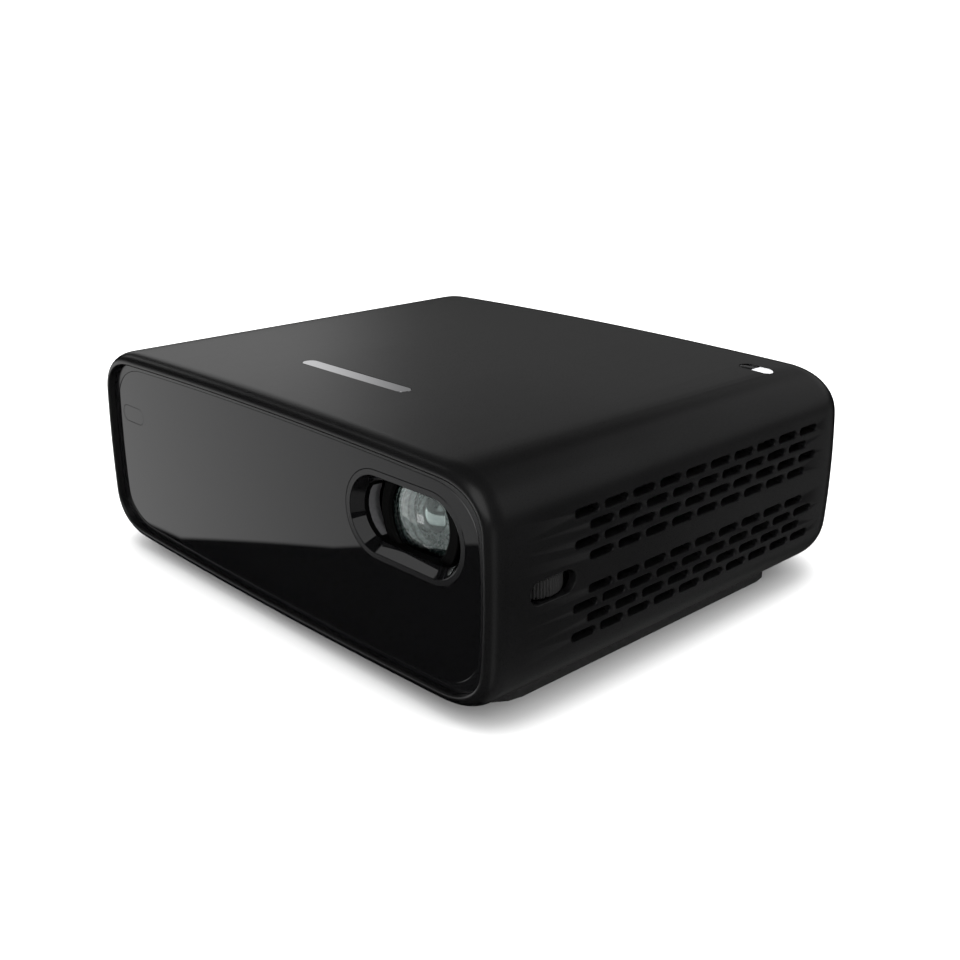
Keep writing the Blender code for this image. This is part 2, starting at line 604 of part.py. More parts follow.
# ---- light engine -----------------------------------------------------------
def engine(mats):
    lo, hi = ENGINE_LO, ENGINE_HI
    wall = 1.6
    tray = add("engine_housing", box(lo, hi), mats["magnesium"])
    cut(tray, box([value + wall for value in lo], (hi[0] - wall, hi[1] - wall, hi[2] + 1)))
    cut(tray,
        turned([(7.0, lo[1] - 1), (7.0, lo[1] + 4)], "y", (LENS_X, LENS_Z)),
        box((28.0, hi[1] - 3, 22.5), (44.0, hi[1] + 1, 34.9)),
        box((lo[0] - 1, LIGHT_Y - 3, LENS_Z - 3), (lo[0] + 3, LIGHT_Y + 3, LENS_Z + 3)),
        *[box((x - 3, hi[1] - 3, LENS_Z - 3), (x + 3, hi[1] + 1, LENS_Z + 3)) for x in LED_X])
    add("engine_lid", box((lo[0], lo[1], hi[2] + GAP), (hi[0], hi[1], 38.3)), mats["magnesium"])

    board, emitter = (5.2, 7.0), (2.2, 2.2)
    for name, x in zip(("led_red", "led_blue"), LED_X):
        blocks = ((*emitter, hi[1] - 1.4, hi[1] + GAP), (*board, hi[1] + GAP, hi[1] + 1.6))
        add(name, stepped(blocks, "y", (x, LENS_Z)), mats[name.split("_")[1]])
    blocks = ((*board, lo[0] - 1.6, lo[0] - GAP), (*emitter, lo[0] - GAP, lo[0] + 1.4))
    add("led_green", stepped(blocks, "x", (LIGHT_Y, LENS_Z)), mats["green"])

    domes = [(4.2, 0.0), (4.2, 0.8), (3.6, 1.8), (2.2, 2.5), (0.8, 2.8)]
    for name, x in zip(("collimator_red", "collimator_blue"), LED_X):
        profile = [(radius, hi[1] - wall - 0.5 - place) for radius, place in domes]
        add(name, turned(profile, "y", (x, LENS_Z), 20), mats["glass"], smooth=True)
    profile = [(radius, lo[0] + wall + 0.5 + place) for radius, place in domes]
    add("collimator_green", turned(profile, "x", (LIGHT_Y, LENS_Z), 20), mats["glass"], smooth=True)

    for name, x in zip(("dichroic_plate_1", "dichroic_plate_2"), LED_X):
        slant = [(x - 4.0, LIGHT_Y - 4.0), (x - 3.3, LIGHT_Y - 4.7),
                 (x + 4.7, LIGHT_Y + 3.3), (x + 4.0, LIGHT_Y + 4.0)]
        add(name, prism(slant, "z", LENS_Z - 6, LENS_Z + 5), mats["glass"])
    add("integrator_lens", box((24.2, LIGHT_Y - 4.5, LENS_Z - 4.5), (26.4, LIGHT_Y + 4.5, LENS_Z + 4.5)),
        mats["glass"])
    corner = [(29.0, -20.8), (43.4, -20.8), (43.4, -6.4), (29.0, -6.4)]
    add("prism_block", prism(corner, "z", LENS_Z - 7, LENS_Z + 7), mats["glass"])
    add("dmd_chip", stepped(((5.0, 3.2, hi[1] - 2.6, hi[1] - 2.0), (7.2, 5.2, hi[1] - 2.0, hi[1] - 0.2)),
                            "y", (LENS_X, LENS_Z)), mats["ceramic"])
    add("dmd_board", box((23.2, hi[1] + 0.2, 17.0), (48.5, hi[1] + 1.4, 37.0)), mats["board_green"])
    # side view (y, z) of the film that bends from the chip's board down to the main board
    ribbon = [(-1.3, 19.4), (-0.9, 19.4), (-0.9, 18.5), (0.2, 17.0), (2.5, 16.2), (8.2, 16.1),
              (11.5, 16.1), (11.5, 15.8), (8.2, 15.8), (2.3, 15.85), (0.0, 16.75), (-1.3, 18.4)]
    add("dmd_ribbon", prism(ribbon, "x", 30.0, 42.0), mats["flex"])


# ---- cooling ----------------------------------------------------------------
def cooling(mats):
    fin, pitch, pairs = 1.0, 3.6, 4
    base_low, base_high, top = 8.0, 10.5, 35.0
    middles = [LIGHT_Y + sign * (pitch / 2 + pitch * k) for k in range(pairs) for sign in (-1, 1)]
    middles.sort()
    comb = [(middles[0] - fin / 2, base_low), (middles[-1] + fin / 2, base_low)]
    for middle in reversed(middles):
        comb += [(middle + fin / 2, base_high), (middle + fin / 2, top),
                 (middle - fin / 2, top), (middle - fin / 2, base_high)]
    outline = []
    for point in comb:
        if not outline or point != outline[-1]:
            outline.append(point)
    # the outer flanks of the first and last fin run straight down to the base
    flanks = ((middles[0] - fin / 2, base_high), (middles[-1] + fin / 2, base_high))
    outline = [point for point in outline if point not in flanks]
    add("heat_sink", prism(outline, "x", -40, -14.6), mats["aluminium"])
    add("heat_pipe", bent_pipe(), mats["copper"], smooth=True)

    centre = (FAN_Y, MID_Z)
    low, high = FAN_X - FAN_THICK / 2, FAN_X + FAN_THICK / 2
    frame = add("fan_housing", prism(rounded_rect(*centre, FAN_HALF, FAN_HALF, 2.5, 3), "x", low, high),
                mats["moulded_black"])
    cut(frame, turned([(13.9, low - 1), (13.9, high + 1)], "x", centre))
    spokes = []
    for k in range(3):
        a = 2 * math.pi * k / 3
        ux, uz = math.cos(a), math.sin(a)
        outline = [(FAN_Y + ux * r - uz * s, MID_Z + uz * r + ux * s) for r, s in
                   ((3, -0.7), (14.4, -0.7), (14.4, 0.7), (3, 0.7))]
        spokes.append(prism(outline, "x", high - 1.2, high - 0.1))
    join(frame, turned([(6.0, high - 1.2), (6.0, high - 0.1)], "x", centre, 24))
    for spoke in spokes:
        join(frame, spoke)

    rotor = add("fan_rotor", turned([(5.4, low + 0.5), (6.2, low + 1.2), (6.2, high - 1.6)], "x", centre, 24),
                mats["moulded_black"], origin=(FAN_X, *centre), smooth=True)
    join(rotor, *[fan_blade(k, low + 1.5, high - 1.9) for k in range(7)])


def fan_blade(k, low, high):
    """One blade: a plate that sweeps round the axis as it goes from one face of the fan to the other."""
    sweep, thick, steps = 0.55, 0.9, 3
    sections = []
    for i in range(steps + 1):
        a = 2 * math.pi * k / 7 + sweep * i / steps
        ux, uz = math.cos(a), math.sin(a)
        outline = [(FAN_Y + ux * r - uz * s, MID_Z + uz * r + ux * s) for r, s in
                   ((5.5, -thick / 2), (13.3, -thick / 2), (13.3, thick / 2), (5.5, thick / 2))]
        sections.append((outline, low + (high - low) * i / steps))
    return loft(sections, "x")


def bent_pipe():
    """Heat pipe: lies between two fins, turns up in a quarter bend, and runs behind the green LED."""
    radius, bend = 1.1, 4.0
    low_z, stand_x = 11.95, -11.2
    points = [(-38.5, low_z, 0.0)]
    for i in range(5):
        a = math.pi / 2 * i / 4
        points.append((stand_x - bend + bend * math.sin(a), low_z + bend - bend * math.cos(a), a))
    points.append((stand_x, 34.0, math.pi / 2))
    bm = bmesh.new()
    rings = []
    for x, z, a in points:
        ring = []
        for i in range(10):
            t = 2 * math.pi * i / 10
            off = radius * math.cos(t)
            ring.append(bm.verts.new((x - off * math.sin(a), LIGHT_Y + radius * math.sin(t),
                                      z + off * math.cos(a))))
        rings.append(ring)
    for low, high in zip(rings, rings[1:]):
        for i in range(10):
            j = (i + 1) % 10
            bm.faces.new((low[i], low[j], high[j], high[i]))
    bm.faces.new(rings[0])
    bm.faces.new(rings[-1])
    bmesh.ops.recalc_face_normals(bm, faces=bm.faces)
    return bm


# ---- electronics ------------------------------------------------------------
def electronics(mats):
    board = add("main_board", box((-44.0, 8.0, BOARD_Z), (44.0, 43.5, BOARD_Z + 1.3)), mats["board_green"])
    # chips: centre x and y, half sizes, height
    chips = ((-20, 20, 7, 7, 1.4), (4, 18, 5, 5, 1.2), (22, 24, 6, 4, 1.6), (-36, 16, 3, 4, 3.0))
    top = BOARD_Z + 1.3
    for x, y, half_x, half_y, tall in chips:
        join(board, box((x - half_x, y - half_y, top - 0.5), (x + half_x, y + half_y, top + tall)))
    pack = rounded_rect(0, 10.0, 36.0, 3.4, 3.0, 3)
    add("battery_pack", prism(pack, "y", 9.6, 42.6), mats["battery_wrap"])
    for name, side in (("speaker_left", -1), ("speaker_right", 1)):
        # basket, rim and sunken cone: half length, half height, distance from the middle of the body
        steps = ((10.5, 7.5, 45.0), (10.5, 7.5, 50.6), (9.0, 6.0, 50.6), (9.0, 6.0, 51.4),
                 (7.6, 4.6, 51.4), (5.0, 2.2, 50.4))
        sections = [(stadium(23.0, 23.5, half_u, half_v, 6), side * place) for half_u, half_v, place in steps]
        add(name, loft(sections, "x"), mats["moulded_black"])
    add("antenna", box((-38, -42.6, 22.0), (-12, -41.8, 31.0)), mats["board_green"])


def main():
    for obj in list(bpy.data.objects):
        bpy.data.objects.remove(obj)
    mats = make_materials()
    outer_sleeve(mats)
    front_parts(mats)
    top_parts(mats)
    rear_parts(mats)
    base_parts(mats)
    chassis(mats)
    lens_group(mats)
    focus_wheel(mats)
    engine(mats)
    cooling(mats)
    electronics(mats)


main()
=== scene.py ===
"""Looks of the pocket projector: fine surfaces, materials, studio and camera.

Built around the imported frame, in metres. Lengths in this file are millimetres and go through MM,
and places come from the frame's boxes.
"""
import json
import math

import bmesh
import bpy
from mathutils import Matrix, Vector


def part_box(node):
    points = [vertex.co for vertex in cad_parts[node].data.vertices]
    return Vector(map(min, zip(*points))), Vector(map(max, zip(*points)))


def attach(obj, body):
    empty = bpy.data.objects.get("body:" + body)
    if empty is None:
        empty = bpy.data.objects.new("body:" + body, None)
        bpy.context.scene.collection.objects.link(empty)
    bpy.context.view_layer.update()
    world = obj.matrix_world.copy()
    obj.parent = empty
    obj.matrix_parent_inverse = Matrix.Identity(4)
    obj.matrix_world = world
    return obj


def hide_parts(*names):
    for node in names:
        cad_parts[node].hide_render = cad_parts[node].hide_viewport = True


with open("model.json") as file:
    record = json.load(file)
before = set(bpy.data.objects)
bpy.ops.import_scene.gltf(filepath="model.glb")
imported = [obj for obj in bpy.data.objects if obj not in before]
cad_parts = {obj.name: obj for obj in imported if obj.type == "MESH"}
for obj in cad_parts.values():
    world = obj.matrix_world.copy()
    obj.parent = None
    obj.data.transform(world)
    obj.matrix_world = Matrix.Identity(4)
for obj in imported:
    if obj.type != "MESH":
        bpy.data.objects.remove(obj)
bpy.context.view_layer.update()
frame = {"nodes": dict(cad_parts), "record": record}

MM = 0.001
NODES = frame["nodes"]


def mm_box(node):
    low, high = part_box(node)
    return [value / MM for value in low], [value / MM for value in high]


def middle_and_half(node, first, second):
    """Middle (two places) and half sizes of a node's box along two axes, 0 to 2 for x to z."""
    low, high = mm_box(node)
    middles = [(low[axis] + high[axis]) / 2 for axis in (first, second)]
    halves = [(high[axis] - low[axis]) / 2 for axis in (first, second)]
    return middles, halves


# ---- the body's shape, as the CAD model has it ------------------------------
SLEEVE_LO, SLEEVE_HI = mm_box("outer_sleeve")
BOW = 1.0                       # how far each face swells at its middle
WIDTH = SLEEVE_HI[0] - SLEEVE_LO[0]
HEIGHT = SLEEVE_HI[2] - SLEEVE_LO[2]
FRONT, REAR = SLEEVE_LO[1], SLEEVE_HI[1]
MID_Z = (SLEEVE_LO[2] + SLEEVE_HI[2]) / 2
HALF_W, HALF_H = WIDTH / 2 - BOW, HEIGHT / 2 - BOW
CORNER_X, CORNER_Z, CORNER_POWER = 11.2, 9.0, 2.4      # superellipse corners
WALL = 2.35
LIP_IN, FRONT_ROUND_BACK = 2.0, 3.5
REAR_ROUND = 10.0
REAR_HALF_W, REAR_HALF_H, REAR_CORNER = 45.5, 9.8, 3.0

# rows of slots: height above the middle of the side, and how many; the shorter rows are shifted
VENT_ROWS = ((10.40, 10), (7.87, 9), (5.34, 10), (2.81, 9),
             (-2.81, 9), (-5.34, 10), (-7.87, 9), (-10.40, 10))
VENT_PITCH, VENT_LONG, VENT_TALL = 6.807, 5.7, 1.56
VENT_FIRST, VENT_SHIFT = -28.8, 3.4
VENT_RAMP, VENT_LEAN = 3.2, 0.5     # how far a slot's front and rear ends slope to the rear

WHEEL_SLOT_HALF_L, WHEEL_SLOT_HALF_H = 4.95, 1.9
WHEEL_RELIEF_HALF_L, WHEEL_RELIEF_HALF_H = 6.6, 2.3
KEY_HALF_W = 1.6
TRIPOD_HOLE = 5.4

PANEL_LO, PANEL_HI = mm_box("front_panel")
PANEL_FACE = PANEL_LO[1]
PANEL_INSET_X, PANEL_INSET_Z, PANEL_CORNER = 4.0, 3.35, (10.0, 8.0)

(LENS_X, LENS_Z), (RING_HALF_W, RING_HALF_H) = middle_and_half("lens_surround", 0, 2)
RING_BACK = mm_box("lens_surround")[1][1]
(IR_X, IR_Z), (IR_HALF_L, IR_HALF_H) = middle_and_half("ir_window", 0, 2)
(WHEEL_X, WHEEL_Y), (WHEEL_RADIUS, _) = middle_and_half("focus_wheel", 0, 1)
(KEY_X, KEY_Y), (KEY_HALF_L, _) = middle_and_half("power_key", 0, 1)


# ---- outlines ---------------------------------------------------------------
def body_outline(inset, inset_z=None, corner=None, corner_steps=14, top_steps=20, side_steps=12):
    """Closed loop (x, z) of the bowed body at a given inset."""
    w, h = HALF_W - inset, HALF_H - (inset if inset_z is None else inset_z)
    rx, rz = corner or (max(CORNER_X - inset, 1.5), max(CORNER_Z - inset, 1.5))
    quarter = []
    for i in range(corner_steps + 1):
        t = math.pi / 2 * i / corner_steps
        quarter.append((w - rx + rx * math.cos(t) ** (2 / CORNER_POWER),
                        h - rz + rz * math.sin(t) ** (2 / CORNER_POWER)))
    top = [(w - rx) * (1 - 2 * i / top_steps) for i in range(1, top_steps)]
    side = [(h - rz) * (1 - 2 * i / side_steps) for i in range(1, side_steps)]
    loop = quarter + [(x, h) for x in top] + [(-x, z) for x, z in reversed(quarter)]
    loop += [(-w, z) for z in side] + [(-x, -z) for x, z in quarter]
    loop += [(-x, -h) for x in top] + [(x, -z) for x, z in reversed(quarter)] + [(w, -z) for z in side]
    bowed = []
    for x, z in loop:
        bow_z = BOW * (1 - (x / w) ** 2) * z / h
        bow_x = BOW * (1 - (z / h) ** 2) * x / w
        bowed.append((x + bow_x, MID_Z + z + bow_z))
    return bowed


def skin_z(x):
    """Half height of the skin above the body's middle at x."""
    over = max(0.0, (abs(x) - (HALF_W - CORNER_X)) / CORNER_X)
    z = HALF_H
    if over > 0:
        cosine = min(1.0, over ** (CORNER_POWER / 2))
        z = HALF_H - CORNER_Z + CORNER_Z * math.sqrt(1 - cosine * cosine) ** (2 / CORNER_POWER)
    return z + BOW * (1 - (x / HALF_W) ** 2) * z / HALF_H


def skin_x(height):
    """Half width of the skin at a height above the body's middle, on the straight part of the side."""
    return HALF_W + BOW * (1 - (height / HALF_H) ** 2)


def stadium(cx, cy, half_w, half_h, steps=10):
    loop = []
    for side in (1, -1):
        for i in range(steps + 1):
            t = math.pi * i / steps - math.pi / 2
            loop.append((cx + side * (half_w - half_h + half_h * math.cos(t)),
                         cy + side * half_h * math.sin(t)))
    return loop


def rounded_rect(cx, cy, half_w, half_h, radius, steps=6):
    loop = []
    for k, (sx, sy) in enumerate(((1, 1), (-1, 1), (-1, -1), (1, -1))):
        for i in range(steps + 1):
            t = math.pi / 2 * (k + i / steps)
            loop.append((cx + sx * (half_w - radius) + radius * math.cos(t),
                         cy + sy * (half_h - radius) + radius * math.sin(t)))
    return loop


def circle(cx, cy, radius, steps=64):
    return [(cx + radius * math.cos(2 * math.pi * i / steps),
             cy + radius * math.sin(2 * math.pi * i / steps)) for i in range(steps)]


# ---- mesh makers ------------------------------------------------------------
PLACE = {
    "x": lambda u, v, along: (along, u, v),
    "y": lambda u, v, along: (u, along, v),
    "z": lambda u, v, along: (u, v, along),
}


def loft(sections, axis="y", closed=False, caps=True):
    """Skin loops of equal length, each (outline, place along the axis)."""
    bm = bmesh.new()
    rings = [[bm.verts.new(PLACE[axis](u, v, along)) for u, v in outline] for outline, along in sections]
    size = len(rings[0])
    for k in range(len(rings) if closed else len(rings) - 1):
        low, high = rings[k], rings[(k + 1) % len(rings)]
        for i in range(size):
            j = (i + 1) % size
            bm.faces.new((low[i], low[j], high[j], high[i]))
    if caps and not closed:
        bm.faces.new(rings[0])
        bm.faces.new(rings[-1])
    bmesh.ops.recalc_face_normals(bm, faces=bm.faces)
    return bm


def prism(outline, axis, low, high):
    return loft([(outline, low), (outline, high)], axis)


def turned(profile, axis, centre, steps=64, closed=False):
    return loft([(circle(centre[0], centre[1], r, steps), along) for r, along in profile], axis, closed)


def merged(*meshes):
    whole = bmesh.new()
    for bm in meshes:
        corners = {v: whole.verts.new(v.co) for v in bm.verts}
        for face in bm.faces:
            whole.faces.new([corners[v] for v in face.verts])
        bm.free()
    return whole


def mesh_object(name, bm):
    for v in bm.verts:
        v.co *= MM
    mesh = bpy.data.meshes.new(name)
    bm.to_mesh(mesh)
    bm.free()
    obj = bpy.data.objects.new(name, mesh)
    bpy.context.scene.collection.objects.link(obj)
    return obj


def shade(obj, angle=30):
    obj.data.shade_smooth()
    obj.data.set_sharp_from_angle(angle=math.radians(angle))


def cut(obj, *solids):
    """Take solids that don't touch each other out of the object."""
    tool = mesh_object("tool", merged(*solids))
    modifier = obj.modifiers.new("cut", "BOOLEAN")
    modifier.operation = "DIFFERENCE"
    modifier.object = tool
    bpy.context.view_layer.update()
    graph = bpy.context.evaluated_depsgraph_get()
    result = bpy.data.meshes.new_from_object(obj.evaluated_get(graph))
    obj.modifiers.clear()
    obj.data = result
    bpy.data.objects.remove(tool)


def piece(name, bm, material, body="casing", replaces=(), angle=30):
    """A finished piece: named, shaded, riding on its body, and standing for its CAD nodes."""
    obj = mesh_object(name, bm)
    finish_piece(obj, material, body, replaces, angle)
    return obj


def finish_piece(obj, material, body="casing", replaces=(), angle=30):
    obj.data.materials.clear()
    obj.data.materials.append(material)
    shade(obj, angle)
    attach(obj, body)
    if replaces:
        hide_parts(*replaces)


# ---- materials --------------------------------------------------------------
class Shader:
    """A material with its Principled shader, and short ways to add texture nodes."""

    def __init__(self, name, colour, roughness, metallic=0.0, **sockets):
        self.material = bpy.data.materials.new(name)
        self.material.use_nodes = True
        self.nodes = self.material.node_tree.nodes
        self.links = self.material.node_tree.links
        self.principled = self.nodes["Principled BSDF"]
        self.set("Base Color", (*colour, 1.0))
        self.set("Roughness", roughness)
        self.set("Metallic", metallic)
        for socket, value in sockets.items():
            self.set(socket.replace("_", " "), value)
        self.height = None

    def set(self, socket, value):
        self.principled.inputs[socket].default_value = value

    def noise(self, scale, detail=2.0, roughness=0.5, stretch=(1, 1, 1)):
        where = self.nodes.new("ShaderNodeTexCoord")
        mapping = self.nodes.new("ShaderNodeMapping")
        mapping.inputs["Scale"].default_value = stretch
        texture = self.nodes.new("ShaderNodeTexNoise")
        texture.inputs["Scale"].default_value = scale
        texture.inputs["Detail"].default_value = detail
        texture.inputs["Roughness"].default_value = roughness
        self.links.new(where.outputs["Object"], mapping.inputs["Vector"])
        self.links.new(mapping.outputs["Vector"], texture.inputs["Vector"])
        return texture.outputs["Fac"]

    def spread(self, source, low, high, low_at=0.35, high_at=0.65):
        ramp = self.nodes.new("ShaderNodeMapRange")
        ramp.inputs["From Min"].default_value = low_at
        ramp.inputs["From Max"].default_value = high_at
        ramp.inputs["To Min"].default_value = low
        ramp.inputs["To Max"].default_value = high
        self.links.new(source, ramp.inputs["Value"])
        return ramp.outputs["Result"]

    def blend_colour(self, source, dark, light, low_at=0.35, high_at=0.65):
        ramp = self.nodes.new("ShaderNodeValToRGB")
        ramp.color_ramp.elements[0].position = low_at
        ramp.color_ramp.elements[0].color = (*dark, 1.0)
        ramp.color_ramp.elements[1].position = high_at
        ramp.color_ramp.elements[1].color = (*light, 1.0)
        self.links.new(source, ramp.inputs["Fac"])
        self.links.new(ramp.outputs["Color"], self.principled.inputs["Base Color"])

    def vary_roughness(self, source, low, high):
        self.links.new(self.spread(source, low, high), self.principled.inputs["Roughness"])

    def bump(self, source, depth_mm, strength=1.0):
        """Adds a bump of the given depth; calls stack on each other."""
        node = self.nodes.new("ShaderNodeBump")
        node.inputs["Distance"].default_value = depth_mm * MM
        node.inputs["Strength"].default_value = strength
        self.links.new(source, node.inputs["Height"])
        if self.height is not None:
            self.links.new(self.height, node.inputs["Normal"])
        self.height = node.outputs["Normal"]
        self.links.new(self.height, self.principled.inputs["Normal"])


def soft_touch():
    """Rubberised coating: very fine grain, and slow changes of sheen."""
    s = Shader("soft_touch_black", (0.0035, 0.0035, 0.0037), 0.3)
    grain = s.noise(9000, 3.0, 0.6)
    cloud = s.noise(60, 2.0)
    s.blend_colour(cloud, (0.0031, 0.0031, 0.0033), (0.0039, 0.0039, 0.0041))
    s.vary_roughness(grain, 0.27, 0.33)
    s.bump(grain, 0.004, 0.5)
    return s.material


def piano_black():
    s = Shader("piano_black", (0.0024, 0.0024, 0.0026), 0.01)
    haze = s.noise(220, 3.0)
    s.vary_roughness(haze, 0.004, 0.014)
    return s.material


def frame_satin():
    s = Shader("frame_satin", (0.003, 0.003, 0.0033), 0.16)
    grain = s.noise(5200, 2.0)
    s.vary_roughness(grain, 0.14, 0.19)
    s.bump(grain, 0.003, 0.5)
    return s.material


def moulded(name="moulded_black", level=0.012, roughness=0.48, grain_size=3200, specular=0.5):
    """Spark-eroded mould texture on plain plastic."""
    s = Shader(name, (level, level, level), roughness, Specular_IOR_Level=specular)
    grain = s.noise(grain_size, 3.0, 0.65)
    s.blend_colour(grain, (level * 0.85,) * 3, (level * 1.15,) * 3)
    s.vary_roughness(grain, roughness - 0.05, roughness + 0.06)
    s.bump(grain, 0.02, 0.7)
    return s.material


def rubber():
    s = Shader("pad_rubber", (0.012, 0.012, 0.012), 0.78)
    grain = s.noise(1500, 4.0, 0.7)
    s.blend_colour(grain, (0.009, 0.009, 0.009), (0.016, 0.016, 0.016))
    s.bump(grain, 0.05, 0.8)
    return s.material


def metal(name, colour, roughness, brushed=(1, 1, 1), grain_size=2500, depth=0.006):
    s = Shader(name, colour, roughness, 1.0)
    grain = s.noise(grain_size, 3.0, 0.6, brushed)
    s.vary_roughness(grain, roughness * 0.8, roughness * 1.25)
    s.bump(grain, depth, 0.5)
    return s.material


def circuit_board():
    """Solder mask over copper tracks."""
    s = Shader("board_mask", (0.01, 0.09, 0.035), 0.35)
    tracks = s.noise(700, 0.0, 0.0, (1, 3, 1))
    s.blend_colour(tracks, (0.006, 0.06, 0.024), (0.014, 0.13, 0.05), 0.48, 0.52)
    s.bump(tracks, 0.03, 0.6)
    return s.material


def plastic(name, colour, roughness):
    s = Shader(name, colour, roughness)
    grain = s.noise(1800, 2.0)
    s.blend_colour(grain, [c * 0.9 for c in colour], [min(1.0, c * 1.1) for c in colour])
    s.vary_roughness(grain, roughness * 0.85, roughness * 1.2)
    s.bump(grain, 0.01, 0.4)
    return s.material


def optical_glass(name, tint, ior=1.52):
    s = Shader(name, tint, 0.0, Transmission_Weight=1.0, IOR=ior)
    s.vary_roughness(s.noise(90, 2.0), 0.0, 0.01)
    return s.material


def coated_glass():
    """Inner lens seen from outside: dark green, with a mirror-like coating."""
    s = Shader("coated_glass", (0.010, 0.020, 0.018), 0.04, Coat_Weight=1.0, Coat_Roughness=0.02,
               Coat_IOR=1.9)
    rings = s.noise(60, 1.0)
    s.blend_colour(rings, (0.008, 0.016, 0.014), (0.013, 0.024, 0.022))
    return s.material


def make_materials():
    return {
        "soft": soft_touch(),
        "piano": piano_black(),
        "satin": frame_satin(),
        "moulded": moulded(),
        "inner": moulded("inner_black", 0.0015, 0.5, specular=0.05),
        "rubber": rubber(),
        # light grey plastic for the tunnel's painted reflection
        "tunnel_painted_crescent": plastic("tunnel_painted_reflection", (0.085, 0.085, 0.088), 0.4),
        "cell": plastic("cell_grey", (0.034, 0.046, 0.044), 0.26),
        "coated": coated_glass(),
        # light grey standing for the power key's painted reflection
        "key_painted_reflection": plastic("key_painted_reflection", (0.7, 0.7, 0.72), 0.2),
        "silver": metal("polished_silver", (0.86, 0.86, 0.88), 0.09, depth=0.001),
        "steel": metal("plated_steel", (0.55, 0.55, 0.57), 0.3, (1, 12, 1)),
        "brass": metal("machined_brass", (0.72, 0.52, 0.25), 0.28, (1, 1, 14)),
        "copper": metal("heat_pipe_copper", (0.78, 0.4, 0.25), 0.3),
        "aluminium": metal("extruded_aluminium", (0.68, 0.68, 0.7), 0.36, (1, 12, 12)),
        "alloy": metal("cast_alloy", (0.24, 0.24, 0.26), 0.5, depth=0.03, grain_size=1400),
        "board": circuit_board(),
        "ceramic": plastic("chip_ceramic", (0.3, 0.28, 0.26), 0.5),
        "glass": optical_glass("lens_glass", (0.86, 0.95, 0.93)),
        "wrap": plastic("battery_wrap", (0.05, 0.055, 0.07), 0.35),
        "flex": plastic("flex_amber", (0.5, 0.26, 0.05), 0.4),
        "red": plastic("led_red_board", (0.45, 0.03, 0.02), 0.3),
        "green": plastic("led_green_board", (0.03, 0.35, 0.05), 0.3),
        "blue": plastic("led_blue_board", (0.03, 0.05, 0.45), 0.3),
    }


MATERIALS = make_materials()

# material of each CAD node that stays, by the record's slot
BY_SLOT = {
    "soft_black": "soft", "gloss_black": "piano", "frame_grey": "satin", "moulded_black": "moulded",
    "silver": "silver", "steel": "steel", "brass": "brass", "copper": "copper", "aluminium": "aluminium",
    "engine_alloy": "alloy", "board_green": "board", "ceramic": "ceramic", "rubber": "rubber",
    "glass": "glass", "battery_wrap": "wrap", "flex": "flex", "led_red": "red", "led_green": "green",
    "led_blue": "blue",
}


def dress_cad_nodes():
    for part in frame["record"]["subparts"]:
        obj = NODES[part["node"]]
        obj.data.materials.clear()
        obj.data.materials.append(MATERIALS[BY_SLOT[part["material_slot"]]])
        shade(obj, 35)


# ---- casing -----------------------------------------------------------------
EDGE = 0.16                     # rounding of the vents' and slots' outer edges


def edge_growth(depth):
    """How much wider a cut with a rounded outer edge is at a depth below the skin."""
    if depth >= EDGE:
        return 0.0
    return EDGE - math.sqrt(EDGE * EDGE - (EDGE - depth) ** 2)


def vent_cutter(side, front, height):
    """One slot: rounded mouth, then a tunnel whose front end is a ramp to the rear."""
    surface = skin_x(height)
    middle = front + VENT_LONG / 2
    half_l, half_h = VENT_LONG / 2, VENT_TALL / 2
    sections = [(stadium(middle, MID_Z + height, half_l + EDGE + 0.05, half_h + EDGE + 0.05, 6),
                 side * (surface + 0.5))]
    for depth in (0.0, 0.03, 0.09, EDGE):
        grow = edge_growth(depth)
        sections.append((stadium(middle, MID_Z + height, half_l + grow, half_h + grow, 6),
                         side * (surface - depth)))
    shift = (VENT_RAMP + VENT_LEAN) / 2
    shorter = (VENT_RAMP - VENT_LEAN) / 2
    deep = WALL + 0.7
    sections.append((stadium(middle + shift, MID_Z + height, half_l - shorter, half_h, 6),
                     side * (surface - deep)))
    return loft(sections, "x")


def vent_cutters(side):
    cutters = []
    for height, count in VENT_ROWS:
        start = VENT_FIRST + (0.0 if count == 10 else VENT_SHIFT)
        for i in range(count):
            cutters.append(vent_cutter(side, start + VENT_PITCH * i - VENT_LONG / 2, height))
    return cutters


def sleeve_sections():
    """Skin from the lip's inner edge round the front, along the body, round the rear, and the cavity."""
    outer = []
    for i in range(11):
        a = math.pi / 2 * i / 10
        place = FRONT + FRONT_ROUND_BACK * (1 - math.cos(a))
        outer.append((body_outline(LIP_IN * (1 - math.sin(a))), place))
    for i in range(15):
        a = math.pi / 2 * i / 14
        place = REAR - REAR_ROUND * (1 - math.sin(a))
        outer.append((body_outline(REAR_ROUND * (1 - math.cos(a))), place))
    inner = []
    cavity_round = REAR_ROUND - WALL
    for i in range(6):
        a = math.pi / 2 * (1 - i / 5)
        inner.append((body_outline(WALL + cavity_round * (1 - math.cos(a))),
                      REAR - REAR_ROUND + cavity_round * math.sin(a)))
    lip = WALL - LIP_IN
    for i in range(5):
        a = math.pi / 2 * i / 4
        inner.append((body_outline(WALL - lip * (1 - math.cos(a))), FRONT + lip * (1 - math.sin(a))))
    return inner[:-1] + outer


